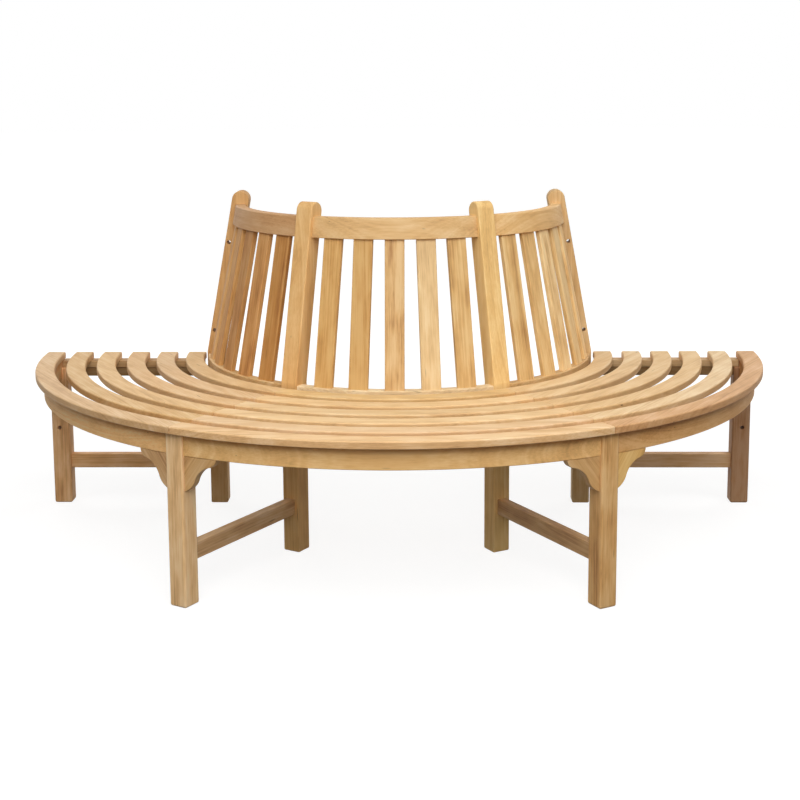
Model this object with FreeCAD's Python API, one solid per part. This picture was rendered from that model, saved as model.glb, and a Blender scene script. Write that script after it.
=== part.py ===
# Half-round tree bench in solid teak: three equal sectors carried by four radial frames.
#
# The seat rings half of a tree. Each frame has a front leg, a raked back post with a round head,
# a seat bearer and a low stretcher. Curved slats, aprons and back rails span from frame to frame.
# The end frames are flush with the joining plane, where the other half of the ring bolts on.
#
# The bench is drawn round the tree axis: r is the distance from that axis, s runs along the
# tangent at a frame, towards the next frame, and z is the height above the ground. At the end
# everything moves so that the middle of the footprint is the origin. All sizes are millimetres.

import FreeCAD
import Part

import math
import os

from FreeCAD import Vector

# Seat
sector_count = 3
seat_outer_radius = 1100.0
seat_height = 472.0
seat_ring_count = 6
seat_slat_width = 56.0
seat_slat_thickness = 20.0
seat_slat_gap = 32.5
seat_slat_eased_edge = 4.0
sector_joint = 1.0

# Front legs; the posts are as wide
leg_width = 52.0
leg_depth = 55.0
leg_setback = 16.0
leg_eased_edge = 6.0

# Back posts
back_height = 978.0
post_depth = 53.0
post_behind_seat = 10.5
post_rake = 10.4
post_eased_edge = 3.0
upright_above_seat = 11.0

# Aprons under the outer ring of slats
apron_setback = 23.0
apron_thickness = 30.0
apron_height = 57.0
apron_tenon_thickness = 12.0
apron_tenon_height = 41.0

# Ogee brackets under the aprons, on both sides of the inner front legs: a round nose at the tip,
# a hollow and a round toe on the leg
bracket_thickness = 22.0
bracket_behind_apron = 2.0
bracket_reach = 95.0
bracket_drop = 92.0
bracket_nose_end_reach = 80.0
bracket_nose_end_drop = 21.0
bracket_toe_start_reach = 30.0
bracket_toe_start_drop = 66.0
bracket_nose_bulge = 4.0
bracket_hollow_depth = 10.0
bracket_toe_bulge = 4.0

# Battens under the ends of the seat slats
batten_width = 45.0
batten_thickness = 20.0
batten_inside_seat = 4.0
batten_behind_apron = 3.0
batten_end_play = 1.0

# Seat bearers and low stretchers, from post to front leg
bearer_width = 32.0
bearer_height = 28.0
bearer_tenon_height = 18.0
stretcher_width = 28.0
stretcher_height = 44.0
stretcher_above_ground = 110.0
stretcher_tenon_height = 30.0
bar_tenon_thickness = 12.0
bar_tenon_length = 16.0
bar_eased_edge = 2.0

# Back rails
top_rail_thickness = 31.0
top_rail_height = 58.0
top_rail_below_head = 39.0
top_rail_behind_post_face = 12.0
top_rail_eased_edge = 3.0
low_rail_thickness = 30.0
low_rail_height = 54.0
low_rail_above_seat = 6.0
low_rail_behind_post_face = 3.0
rail_tenon_thickness = 13.0
rail_tenon_height = 36.0

# Back slats, housed in both rails
back_slats_per_sector = 5
back_slat_width = 54.0
back_slat_thickness = 15.0
back_slat_eased_edge = 2.0
back_slat_housing = 15.0

# Joints
rail_tenon_length = 18.0
mortise_extra_depth = 1.0
mortise_play = 0.2

# Through holes in the end frames, for bolting on the other half
joining_hole_diameter = 12.0
post_hole_behind_face = 12.0
upper_post_hole_below_head = 156.0
lower_post_hole_above_seat = 77.5
leg_hole_behind_face = 24.0
leg_hole_above_ground = 241.0

# Radii, heights and angles that follow from the sizes above
tree_centre = Vector(0, 0, 0)
tree_axis = Vector(0, 0, 1)
half_circle = math.degrees(math.pi)
sector_angle = half_circle / sector_count
last_frame = sector_count
ring_pitch = seat_slat_width + seat_slat_gap
slat_underside = seat_height - seat_slat_thickness
seat_inner_radius = seat_outer_radius - seat_ring_count * ring_pitch + seat_slat_gap
leg_face_radius = seat_outer_radius - leg_setback
leg_inner_radius = leg_face_radius - leg_depth
post_face_radius = seat_inner_radius - post_behind_seat
rake = math.radians(post_rake)
rake_start = seat_height + upright_above_seat
apron_outer_radius = seat_outer_radius - apron_setback
apron_inner_radius = apron_outer_radius - apron_thickness
apron_underside = slat_underside - apron_height
batten_underside = slat_underside - batten_thickness
batten_inner_radius = seat_inner_radius + batten_inside_seat
batten_outer_radius = apron_inner_radius - batten_behind_apron
bearer_underside = batten_underside - bearer_height
low_rail_top = seat_height + low_rail_above_seat
low_rail_underside = low_rail_top - low_rail_height
top_rail_top = back_height - top_rail_below_head
top_rail_underside = top_rail_top - top_rail_height
beyond = 2 * seat_outer_radius

# Seat bearer and stretcher: underside, height, width and tenon height
bars = {
    "seat_bearer": (bearer_underside, bearer_height, bearer_width, bearer_tenon_height),
    "stretcher": (stretcher_above_ground, stretcher_height, stretcher_width, stretcher_tenon_height),
}


def frame_angle(frame):
    """Direction of a frame's radial plane. The first frame points along -X."""
    return half_circle + frame * sector_angle


def is_end(frame):
    return frame in (0, last_frame)


def frame_middle(frame):
    """Middle of a frame in s: on its radial plane, or wholly on the seat's side at the ends."""
    if not is_end(frame):
        return 0.0
    return leg_width / 2 if frame == 0 else -leg_width / 2


def sectors_beside(frame):
    return [sector for sector in (frame - 1, frame) if 0 <= sector < sector_count]


def on_frame(shape, frame):
    """Turns a shape drawn with r along X and s along Y to the place of a frame."""
    turned = shape.copy()
    turned.rotate(tree_centre, tree_axis, frame_angle(frame))
    return turned


def block(r_range, s_range, z_range):
    low, high = [Vector(*corner) for corner in zip(r_range, s_range, z_range)]
    size = high - low
    return Part.makeBox(size.x, size.y, size.z, low)


def about(middle, size, play=0.0):
    """Range of a size about a middle, with play on both sides."""
    return middle - size / 2 - play, middle + size / 2 + play


def eased(shape, amount, is_chosen):
    """Takes the corner off the chosen edges."""
    return shape.makeChamfer(amount, [edge for edge in shape.Edges if is_chosen(edge)])


def section(corners):
    """Face in the r-z plane from its corners."""
    points = [Vector(r, 0, z) for r, z in corners]
    return Part.Face(Part.makePolygon(points + points[:1]))


def plain_section(outer_at, thickness, heights):
    """Strip between two heights, whose outer radius at each height is outer_at(z)."""
    low, high = heights
    return section([
        (outer_at(low) - thickness, low), (outer_at(low), low),
        (outer_at(high), high), (outer_at(high) - thickness, high),
    ])


def eased_section(outer_at, thickness, heights, ease):
    """The same strip with its two upper corners taken off."""
    low, high = heights
    shoulder = high - ease
    return section([
        (outer_at(low) - thickness, low), (outer_at(low), low), (outer_at(shoulder), shoulder),
        (outer_at(high) - ease, high), (outer_at(high) - thickness + ease, high),
        (outer_at(shoulder) - thickness, shoulder),
    ])


def ring(face, sector):
    """A section swept round the tree over one sector."""
    start = face.copy()
    start.rotate(tree_centre, tree_axis, frame_angle(sector))
    return start.revolve(tree_centre, tree_axis, sector_angle)


def trimmed(shape, sector, near_side, far_side):
    """Keeps what lies between s = near_side on one frame and s = far_side on the next."""
    if near_side > 0:
        before = block((0, beyond), (-beyond, near_side), (-beyond, beyond))
        shape = shape.cut(on_frame(before, sector))
    if far_side < 0:
        after = block((0, beyond), (far_side, beyond), (-beyond, beyond))
        shape = shape.cut(on_frame(after, sector + 1))
    return shape


def between_frames(shape, sector, reach=0.0):
    """Trims a ring at the sides of its two frames; reach lets it run on into them."""
    near_side = frame_middle(sector) + leg_width / 2 - reach
    far_side = frame_middle(sector + 1) - leg_width / 2 + reach
    return trimmed(shape, sector, near_side, far_side)


def tenoned_ring(face, tenon_face, sector):
    """Curved rail from frame to frame, with its tenons."""
    rail = between_frames(ring(face, sector), sector)
    tenons = between_frames(ring(tenon_face, sector), sector, rail_tenon_length)
    return rail.fuse(tenons).removeSplitter()


def ring_mortises(tenon_faces, frame):
    """Room in a frame for the tenons of the rails that meet there."""
    reach = rail_tenon_length + mortise_extra_depth
    rooms = []
    for sector in sectors_beside(frame):
        for face in tenon_faces:
            rooms.append(between_frames(ring(face, sector), sector, reach))
    return rooms


# Seat

def joint_clearance(frame):
    """Half of the joint between two sectors; nothing at the joining plane."""
    return 0.0 if is_end(frame) else sector_joint / 2


def seat_slat(sector, number):
    outer = seat_inner_radius + number * ring_pitch + seat_slat_width
    heights = (slat_underside, seat_height)
    face = eased_section(lambda z: outer, seat_slat_width, heights, seat_slat_eased_edge)
    return trimmed(ring(face, sector), sector, joint_clearance(sector), -joint_clearance(sector + 1))


def batten(frame, sector):
    """Carries a sector's slat ends, on the bearer and in the rebate of the front leg."""
    start = joint_clearance(frame)
    s_range = (start, start + batten_width)
    if sector < frame:
        s_range = (-start - batten_width, -start)
    strip = block((batten_inner_radius, batten_outer_radius), s_range, (batten_underside, slat_underside))
    return on_frame(strip, frame)


# Aprons and brackets

def apron_face():
    return plain_section(lambda z: apron_outer_radius, apron_thickness, (apron_underside, slat_underside))


def apron_tenon_face(play=0.0):
    outer = apron_outer_radius - (apron_thickness - apron_tenon_thickness) / 2 + play
    heights = about((apron_underside + slat_underside) / 2, apron_tenon_height, play)
    return plain_section(lambda z: outer, apron_tenon_thickness + 2 * play, heights)


def arched(start, end, rise):
    """Arc in the s-z plane whose middle rises off the chord, away from the leg and the apron."""
    normal = Vector(1, 0, 0).cross(end - start).normalize()
    return Part.Arc(start, (start + end) / 2 + normal * rise, end).toShape()


def bracket(frame, side):
    """Flat ogee bracket in the corner of leg and apron, turned to follow the apron's curve."""
    outer = apron_outer_radius - bracket_behind_apron
    leg_side = leg_width / 2
    turn = math.degrees(math.atan((leg_side + bracket_reach / 2) / outer))

    def point(reach, drop):
        return Vector(outer - bracket_thickness, reach - bracket_reach / 2, apron_underside - drop)

    tip = point(bracket_reach, 0)
    nose_end = point(bracket_nose_end_reach, bracket_nose_end_drop)
    toe_start = point(bracket_toe_start_reach, bracket_toe_start_drop)
    foot = point(0, bracket_drop)
    buried_foot = point(-leg_side, bracket_drop)
    buried_top = point(-leg_side, 0)
    outline = Part.Wire([
        Part.makeLine(buried_top, tip),
        arched(tip, nose_end, bracket_nose_bulge),
        arched(nose_end, toe_start, -bracket_hollow_depth),
        arched(toe_start, foot, bracket_toe_bulge),
        Part.makeLine(foot, buried_foot),
        Part.makeLine(buried_foot, buried_top),
    ])
    plate = Part.Face(outline).extrude(Vector(bracket_thickness, 0, 0))
    plate.rotate(tree_centre, tree_axis, turn)
    plate = plate.cut(block((0, beyond), (-beyond, leg_side), (0, beyond)))
    if side < 0:
        plate = plate.mirror(tree_centre, Vector(0, 1, 0))
    return on_frame(plate, frame)


# Back

def post_face(z):
    """Radius of a post's outward face at height z: upright, then raked to the tree."""
    return post_face_radius - max(0.0, z - rake_start) * math.tan(rake)


def top_rail_outer(z):
    return post_face(z) - top_rail_behind_post_face


def low_rail_outer(z):
    return post_face_radius - low_rail_behind_post_face


def top_rail_face():
    heights = (top_rail_underside, top_rail_top)
    return eased_section(top_rail_outer, top_rail_thickness, heights, top_rail_eased_edge)


def low_rail_face():
    return plain_section(low_rail_outer, low_rail_thickness, (low_rail_underside, low_rail_top))


def rail_tenon_face(rail_outer, rail_thickness, middle_height, play):
    """Section of a back rail's tenon, in the middle of the rail's."""
    setback = (rail_thickness - rail_tenon_thickness) / 2 - play
    thickness = rail_tenon_thickness + 2 * play
    heights = about(middle_height, rail_tenon_height, play)
    return plain_section(lambda z: rail_outer(z) - setback, thickness, heights)


def top_rail_tenon_face(play=0.0):
    middle_height = (top_rail_underside + top_rail_top) / 2
    return rail_tenon_face(top_rail_outer, top_rail_thickness, middle_height, play)


def low_rail_tenon_face(play=0.0):
    middle_height = (low_rail_underside + low_rail_top) / 2
    return rail_tenon_face(low_rail_outer, low_rail_thickness, middle_height, play)


def back_slat_foot():
    """Radius and height at which a back slat leaves the low rail."""
    return low_rail_outer(low_rail_top) - low_rail_thickness / 2, low_rail_top


def back_slat_head():
    """Radius and height at which it enters the top rail."""
    return top_rail_outer(top_rail_underside) - top_rail_thickness / 2, top_rail_underside


def post_angle(frame):
    """Direction from the tree to the middle of a post, halfway up the back slats."""
    radius = (back_slat_foot()[0] + back_slat_head()[0]) / 2
    return frame_angle(frame) + math.degrees(math.asin(frame_middle(frame) / radius))


def back_slat(sector, number, play=0.0, extra_depth=0.0):
    """One leaning slat of the fan, evenly spaced between its two posts."""
    foot_radius, foot_height = back_slat_foot()
    head_radius, head_height = back_slat_head()
    lean = math.atan2(foot_radius - head_radius, head_height - foot_height)
    visible = math.hypot(foot_radius - head_radius, head_height - foot_height)
    housing = back_slat_housing + extra_depth
    length = (-housing, visible + housing)
    slat = block(about(0, back_slat_thickness, play), about(0, back_slat_width, play), length)
    if play == 0:
        slat = eased(slat, back_slat_eased_edge, lambda edge: edge.Length > visible)
    slat.rotate(Vector(0, 0, 0), Vector(0, 1, 0), -math.degrees(lean))
    slat.translate(Vector(foot_radius, 0, foot_height))
    share = (number + 1) / (back_slats_per_sector + 1)
    slat.rotate(tree_centre, tree_axis, (1 - share) * post_angle(sector) + share * post_angle(sector + 1))
    return slat


def housed_rail(face, tenon_face, sector):
    """Back rail with the housings of its slats."""
    rooms = []
    for number in range(back_slats_per_sector):
        rooms.append(back_slat(sector, number, mortise_play, mortise_extra_depth))
    return tenoned_ring(face, tenon_face, sector).cut(rooms)


# Frames

def bar_stock(kind, frame, reach, play=0.0):
    """Stock as thick as a bar's tenons, which runs into the post and the leg by reach."""
    underside, height, width, tenon_height = bars[kind]
    return block((post_face_radius - reach, leg_inner_radius + reach),
                 about(frame_middle(frame), bar_tenon_thickness, play),
                 about(underside + height / 2, tenon_height, play))


def bar(kind, frame):
    underside, height, width, tenon_height = bars[kind]
    heights = (underside, underside + height)
    body = block((post_face_radius, leg_inner_radius), about(frame_middle(frame), width), heights)
    body = eased(body, bar_eased_edge, lambda edge: edge.Length > width + height)
    return on_frame(body.fuse(bar_stock(kind, frame, bar_tenon_length)).removeSplitter(), frame)


def bar_mortises(frame):
    reach = bar_tenon_length + mortise_extra_depth
    return [on_frame(bar_stock(kind, frame, reach, mortise_play), frame) for kind in bars]


def joining_hole(r, z):
    """Hole straight through the width of an end frame."""
    start = Vector(r, -leg_width, z)
    return Part.makeCylinder(joining_hole_diameter / 2, 2 * leg_width, start, Vector(0, 1, 0))


def front_leg(frame):
    leg_sides = about(frame_middle(frame), leg_width)
    leg = block((leg_inner_radius, leg_face_radius), leg_sides, (0, slat_underside))
    leg = eased(leg, leg_eased_edge, lambda edge: edge.BoundBox.ZMin < leg_eased_edge)
    rebate_end = batten_outer_radius + batten_end_play
    leg = leg.cut(block((0, rebate_end), (-beyond, beyond), (batten_underside, beyond)))
    if is_end(frame):
        leg = leg.cut(joining_hole(leg_face_radius - leg_hole_behind_face, leg_hole_above_ground))
    mortises = ring_mortises([apron_tenon_face(mortise_play)], frame) + bar_mortises(frame)
    return on_frame(leg, frame).cut(mortises)


def post_side(s):
    """Side view of a post at s: upright leg, raked upper part and half-round head."""
    head_radius = post_depth * math.cos(rake) / 2
    head_middle = back_height - head_radius
    centre = Vector(post_face(head_middle) - post_depth / 2, s, head_middle)
    across = Vector(math.cos(rake), 0, math.sin(rake)) * head_radius
    along = Vector(-math.sin(rake), 0, math.cos(rake)) * head_radius
    back_radius = post_face_radius - post_depth
    corners = [
        centre - across, Vector(back_radius, s, rake_start), Vector(back_radius, s, 0),
        Vector(post_face_radius, s, 0), Vector(post_face_radius, s, rake_start), centre + across,
    ]
    sides = [Part.makeLine(start, end) for start, end in zip(corners, corners[1:])]
    head = Part.Arc(centre + across, centre + along, centre - across).toShape()
    return Part.Face(Part.Wire(sides + [head]))


def is_post_edge(edge):
    """The outline of both sides of a post, and the edges round its foot."""
    return edge.BoundBox.YLength < post_eased_edge or edge.BoundBox.ZMax < post_eased_edge


def back_post(frame):
    s_start = frame_middle(frame) - leg_width / 2
    post = post_side(s_start).extrude(Vector(0, leg_width, 0))
    post = eased(post, post_eased_edge, is_post_edge)
    if is_end(frame):
        for z in (back_height - upper_post_hole_below_head, seat_height + lower_post_hole_above_seat):
            post = post.cut(joining_hole(post_face(z) - post_hole_behind_face, z))
    tenon_faces = [top_rail_tenon_face(mortise_play), low_rail_tenon_face(mortise_play)]
    return on_frame(post, frame).cut(ring_mortises(tenon_faces, frame) + bar_mortises(frame))


def all_pieces():
    """Every piece by its name. Frames, sectors and slats count from the -X end, rings outwards."""
    pieces = {}
    for frame in range(sector_count + 1):
        pieces[f"front_leg_{frame + 1}"] = front_leg(frame)
        pieces[f"back_post_{frame + 1}"] = back_post(frame)
        for kind in bars:
            pieces[f"{kind}_{frame + 1}"] = bar(kind, frame)
    for number in range(seat_ring_count):
        slats = [seat_slat(sector, number) for sector in range(sector_count)]
        pieces[f"seat_ring_{number + 1}"] = Part.makeCompound(slats)
    for sector in range(sector_count):
        pieces[f"apron_{sector + 1}"] = tenoned_ring(apron_face(), apron_tenon_face(), sector)
        pieces[f"top_rail_{sector + 1}"] = housed_rail(top_rail_face(), top_rail_tenon_face(), sector)
        pieces[f"low_rail_{sector + 1}"] = housed_rail(low_rail_face(), low_rail_tenon_face(), sector)
        for end, frame in enumerate((sector, sector + 1)):
            pieces[f"batten_{sector + 1}_{end + 1}"] = batten(frame, sector)
        for number in range(back_slats_per_sector):
            pieces[f"back_slat_{sector + 1}_{number + 1}"] = back_slat(sector, number)
    for frame in range(1, last_frame):
        for end, side in enumerate((-1, 1)):
            pieces[f"bracket_{frame + 1}_{end + 1}"] = bracket(frame, side)
    return pieces


os.makedirs("parts", exist_ok=True)
for name, piece in all_pieces().items():
    piece.translate(Vector(0, seat_outer_radius / 2, 0))
    piece.exportStep(f"parts/{name}.step")
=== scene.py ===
# Half-round tree bench in oiled teak, dressed round its imported CAD model.
#
# Each board is a rounded section carried along a straight line or round the tree. Its mesh holds
# two attributes for the wood: grain, the place of each point in the tree the board was sawn from,
# and board, how light, how warm and how figured that board came out, with painted light and
# shade in that colour.
#
# Distances are metres in the CAD's frame. As in the CAD, r is the distance from the tree axis,
# s runs along the tangent at a frame towards the next frame, and z is the height. A frame is a
# back post with its front leg, and a sector is the part of the bench between two frames.

import math
from types import SimpleNamespace

import bpy
import numpy as np
from mathutils import Matrix, Vector


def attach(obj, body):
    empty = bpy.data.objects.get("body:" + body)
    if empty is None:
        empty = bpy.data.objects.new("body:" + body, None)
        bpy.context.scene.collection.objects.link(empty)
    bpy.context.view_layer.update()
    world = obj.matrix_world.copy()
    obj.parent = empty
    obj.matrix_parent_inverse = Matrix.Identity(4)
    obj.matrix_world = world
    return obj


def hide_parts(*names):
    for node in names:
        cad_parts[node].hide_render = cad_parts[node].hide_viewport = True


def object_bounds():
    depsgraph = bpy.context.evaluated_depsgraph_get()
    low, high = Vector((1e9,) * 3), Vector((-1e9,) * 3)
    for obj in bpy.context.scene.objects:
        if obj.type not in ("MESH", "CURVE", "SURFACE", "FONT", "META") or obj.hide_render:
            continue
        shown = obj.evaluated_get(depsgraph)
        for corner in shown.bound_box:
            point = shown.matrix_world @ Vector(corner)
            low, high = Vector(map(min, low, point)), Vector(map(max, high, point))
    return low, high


bl_info = {
    "name": "Tree bench in teak",
    "version": (1, 0, 0),
    "blender": (4, 5, 0),
    "location": "3D View > Sidebar > Tree bench",
    "description": "Rounded, grained teak boards for a half-round tree bench, and its studio",
    "category": "Object",
}

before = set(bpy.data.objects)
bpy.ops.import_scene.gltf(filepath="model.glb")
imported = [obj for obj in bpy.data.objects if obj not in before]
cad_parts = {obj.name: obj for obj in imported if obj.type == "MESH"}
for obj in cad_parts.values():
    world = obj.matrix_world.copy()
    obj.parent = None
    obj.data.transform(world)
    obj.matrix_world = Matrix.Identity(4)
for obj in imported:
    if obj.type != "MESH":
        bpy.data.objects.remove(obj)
cad_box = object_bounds()

SECTORS = 3
SECTOR_ANGLE = math.pi / SECTORS
FRAMES = range(SECTORS + 1)
SEAT_RINGS = 6
SLATS_PER_SECTOR = 5
UP = np.array([0.0, 0.0, 1.0])
TREE_AXIS = np.array([0.0, cad_box[1].y, 0.0])

# Radius of a corner that is as good as sharp, and rounding of an end that is hidden in a joint
SMALLEST_RADIUS = 0.0003
HIDDEN_EASE = 0.0004
# How far a hidden end goes into the piece that carries it, and a front leg's top into the slats
SEATED = 0.001
LEG_INTO_SLATS = 0.002
# A distance that is too small to see, and keeps two points apart
HAIR = 0.0001

# Fineness of the meshes: steps of a rounded end and of a corner's arc, stations of a curved board
# between its rounded ends, points round a bolt hole, and the rounding of its rim
END_STEPS = 4
CORNER_STEPS = 4
POST_CORNER_STEPS = 10
BOW_STEPS = 7
RING_STATIONS = 59
HOLE_POINTS = 24
HOLE_RIM = 0.0006


# Sizes and colours

def size(millimetres, name, description):
    return bpy.props.FloatProperty(
        name=name, description=description, default=millimetres / 1000, min=0.0,
        precision=4, unit="LENGTH", subtype="DISTANCE")


def linear(hex_colour):
    """sRGB hex to linear red, green and blue."""
    levels = np.array([int(hex_colour[k:k + 2], 16) for k in (1, 3, 5)]) / 255
    curved = ((levels + 0.055) / 1.055) ** 2.4
    return tuple(np.where(levels <= 0.04045, levels / 12.92, curved).tolist())


def colour(hex_colour, name, description):
    return bpy.props.FloatVectorProperty(
        name=name, description=description, default=linear(hex_colour), size=3,
        min=0.0, max=1.0, subtype="COLOR")


def share(value, name, description, highest=1.0):
    return bpy.props.FloatProperty(
        name=name, description=description, default=value, min=0.0, max=highest, subtype="FACTOR")


class TreeBenchSeat(bpy.types.PropertyGroup):
    """Sizes of the seat, its aprons, brackets and battens"""
    outer_radius: size(1100, "Seat radius", "From the tree axis to the seat's outer edge")
    height: size(472, "Seat height", "Top of the slats above the ground")
    slat_width: size(56, "Slat width", "Width of a seat slat")
    slat_thickness: size(20, "Slat thickness", "Thickness of a seat slat")
    slat_gap: size(32.5, "Slat gap", "Open space between two rings of slats")
    slat_top_edge: size(4.5, "Slat top edge", "Radius of the upper edges of a slat")
    slat_bottom_edge: size(2.5, "Slat bottom edge", "Radius of the lower edges of a slat")
    slat_end_edge: size(1.3, "Slat end edge", "Rounding of the slat ends")
    sector_joint: size(1, "Sector joint", "Gap between two sectors over a frame")
    apron_setback: size(23, "Apron setback", "Apron face behind the seat's outer edge")
    apron_thickness: size(30, "Apron thickness", "Thickness of an apron")
    apron_height: size(57, "Apron height", "Height of an apron below the slats")
    apron_edge: size(2.5, "Apron edge", "Radius of the lower apron edges")
    bracket_thickness: size(22, "Bracket thickness", "Thickness of a bracket")
    bracket_behind_apron: size(2, "Bracket setback", "Bracket face behind the apron face")
    bracket_reach: size(95, "Bracket reach", "Length of a bracket along the apron")
    bracket_drop: size(92, "Bracket drop", "Height of a bracket along the leg")
    bracket_nose_end_reach: size(80, "Nose end reach", "Reach at which nose and hollow meet")
    bracket_nose_end_drop: size(21, "Nose end drop", "Drop at which nose and hollow meet")
    bracket_toe_start_reach: size(30, "Toe start reach", "Reach at which hollow and toe meet")
    bracket_toe_start_drop: size(66, "Toe start drop", "Drop at which hollow and toe meet")
    bracket_nose_bulge: size(4, "Nose bulge", "Rise of the nose off its chord")
    bracket_hollow_depth: size(10, "Hollow depth", "Depth of the hollow under its chord")
    bracket_toe_bulge: size(4, "Toe bulge", "Rise of the toe off its chord")
    bracket_corner: size(3, "Bracket corner", "Radius where the hollow meets nose and toe")
    bracket_tip: size(1.2, "Bracket tip", "Radius of the bracket's two thin ends")
    bracket_edge: size(1.8, "Bracket edge", "Rounding of the bracket's edges")
    batten_width: size(45, "Batten width", "Width of a batten under the slat ends")
    batten_thickness: size(20, "Batten thickness", "Thickness of a batten")
    batten_inside_seat: size(4, "Batten start", "Batten's inner end outside the seat's inner edge")
    batten_behind_apron: size(3, "Batten stop", "Batten's outer end behind the apron's back")
    batten_end_play: size(1, "Batten play", "Space between a batten's outer end and the front leg")
    batten_edge: size(1.2, "Batten edge", "Radius of a batten's edges")


class TreeBenchBack(bpy.types.PropertyGroup):
    """Sizes of the posts, back rails and back slats"""
    height: size(978, "Back height", "Top of the posts above the ground")
    post_depth: size(53, "Post depth", "Depth of a post, measured level")
    post_behind_seat: size(10.5, "Post setback", "Post face inside the seat's inner edge")
    post_edge: size(3.8, "Post edge", "Rounding of a post's edges")
    post_foot_edge: size(5, "Post foot edge", "Radius of a post's foot")
    post_bend: size(30, "Post bend", "Radius at which a post bends from upright to raked")
    rake: bpy.props.FloatProperty(
        name="Post rake", description="Lean of the upper part of the posts towards the tree",
        default=math.radians(10.4), subtype="ANGLE", unit="ROTATION")
    upright_above_seat: size(11, "Upright part", "Height above the seat at which the rake starts")
    top_rail_thickness: size(31, "Top rail thickness", "Thickness of the top rail")
    top_rail_height: size(58, "Top rail height", "Height of the top rail")
    top_rail_below_head: size(39, "Top rail below head", "Post head above the top rail")
    top_rail_setback: size(12, "Top rail setback", "Top rail face behind the post face")
    top_rail_edge: size(5, "Top rail edge", "Radius of the top rail's upper edges")
    low_rail_thickness: size(30, "Low rail thickness", "Thickness of the low rail")
    low_rail_height: size(54, "Low rail height", "Height of the low rail")
    low_rail_above_seat: size(6, "Low rail above seat", "Top of the low rail above the seat")
    low_rail_setback: size(3, "Low rail setback", "Low rail face behind the post face")
    low_rail_edge: size(3, "Low rail edge", "Radius of the low rail's upper edges")
    rail_bottom_edge: size(2, "Rail bottom edge", "Radius of the lower edges of both rails")
    slat_width: size(54, "Back slat width", "Width of a back slat")
    slat_thickness: size(15, "Back slat thickness", "Thickness of a back slat")
    slat_edge: size(2.8, "Back slat edge", "Radius of a back slat's edges")
    slat_housing: size(15, "Back slat housing", "Depth of a back slat in each rail")
    bolt_hole: size(12, "Bolt hole", "Diameter of the bolt holes in the end frames")
    hole_behind_face: size(12, "Post hole setback", "Middle of a bolt hole behind the post face")
    upper_hole_below_head: size(156, "Upper post hole", "Upper bolt hole below the post head")
    lower_hole_above_seat: size(77.5, "Lower post hole", "Lower bolt hole above the seat")


class TreeBenchUnderframe(bpy.types.PropertyGroup):
    """Sizes of the front legs, bearers and stretchers"""
    leg_width: size(52, "Leg width", "Width of legs and posts")
    leg_depth: size(55, "Leg depth", "Depth of a front leg")
    leg_setback: size(16, "Leg setback", "Leg face behind the seat's outer edge")
    leg_edge: size(6, "Leg edge", "Rounding of a leg's edges")
    hole_behind_face: size(24, "Leg hole setback", "Middle of the bolt hole behind the leg face")
    hole_above_ground: size(241, "Leg hole height", "Middle of the bolt hole above the ground")
    bearer_width: size(32, "Bearer width", "Width of a seat bearer")
    bearer_height: size(28, "Bearer height", "Height of a seat bearer")
    stretcher_width: size(28, "Stretcher width", "Width of a stretcher")
    stretcher_height: size(44, "Stretcher height", "Height of a stretcher")
    stretcher_above_ground: size(110, "Stretcher above ground", "Underside of a stretcher")
    bar_edge: size(2.6, "Bar edge", "Radius of the edges of bearers and stretchers")


class TreeBenchWood(bpy.types.PropertyGroup):
    """Colours and figure of the teak, and the painted shade on slat sides and apron tops"""
    pale: colour("#EDC68C", "Pale wood", "Early wood between the darker rings")
    golden: colour("#DEAF70", "Golden wood", "Main colour of the heartwood")
    brown: colour("#AE7C48", "Brown wood", "Late wood of the rings and broad bands")
    streak: colour("#65401F", "Mineral streak", "Short dark streaks along the grain")
    ring_spacing: size(5, "Ring spacing", "Mean distance between growth rings")
    band_spacing: size(26, "Band spacing", "Mean distance between broad brown bands")
    roughness: share(0.62, "Roughness", "Roughness of the sanded, lightly oiled surface")
    # Painted shade: the seat slats' sides darker than their tops, and the aprons' tops darker right under
    # the slats, as their shadow
    slat_sides: share(0.84, "Slat sides", "Tone of the seat slats' sawn sides beside their tops")
    apron_top_shadow: share(0.4, "Apron top", "Tone of the aprons right under the slats, as their painted shadow")
    shadow_fade_height: size(20, "Painted shadow height", "Height over which that tone fades down an apron")


class TreeBenchStudio(bpy.types.PropertyGroup):
    """Floor and lamps"""
    floor: colour("#F4F2EE", "Floor", "Pale studio floor")
    lamps: share(1.0, "Lamps", "Brightness of all the lamps", highest=10.0)
    surroundings: share(1.0, "Surroundings", "Light that the white surroundings give", highest=10.0)


def bench(context):
    """The bench's own values that follow from its sizes: radii, heights and angles."""
    scene = context.scene
    seat, back, under = scene.tree_bench_seat, scene.tree_bench_back, scene.tree_bench_underframe
    ring_pitch = seat.slat_width + seat.slat_gap
    inner_radius = seat.outer_radius - SEAT_RINGS * ring_pitch + seat.slat_gap
    slat_underside = seat.height - seat.slat_thickness
    leg_face = seat.outer_radius - under.leg_setback
    apron_face = seat.outer_radius - seat.apron_setback
    apron_inner = apron_face - seat.apron_thickness
    top_rail_top = back.height - back.top_rail_below_head
    low_rail_top = seat.height + back.low_rail_above_seat
    return SimpleNamespace(
        seat=seat, back=back, under=under, wood=scene.tree_bench_wood, ring_pitch=ring_pitch,
        inner_radius=inner_radius, slat_underside=slat_underside,
        leg_face=leg_face, leg_inner=leg_face - under.leg_depth,
        post_face=inner_radius - back.post_behind_seat,
        apron_face=apron_face, apron_inner=apron_inner,
        apron_underside=slat_underside - seat.apron_height,
        batten_underside=slat_underside - seat.batten_thickness,
        batten_reach=(inner_radius + seat.batten_inside_seat, apron_inner - seat.batten_behind_apron),
        top_rail=(top_rail_top - back.top_rail_height, top_rail_top),
        low_rail=(low_rail_top - back.low_rail_height, low_rail_top),
        rake_start=seat.height + back.upright_above_seat)


# Places round the tree

def frame_angle(number):
    """Direction of a frame's radial plane. The first frame points along -X."""
    return math.pi + number * SECTOR_ANGLE


def is_end(number):
    return number in (FRAMES[0], FRAMES[-1])


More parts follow.
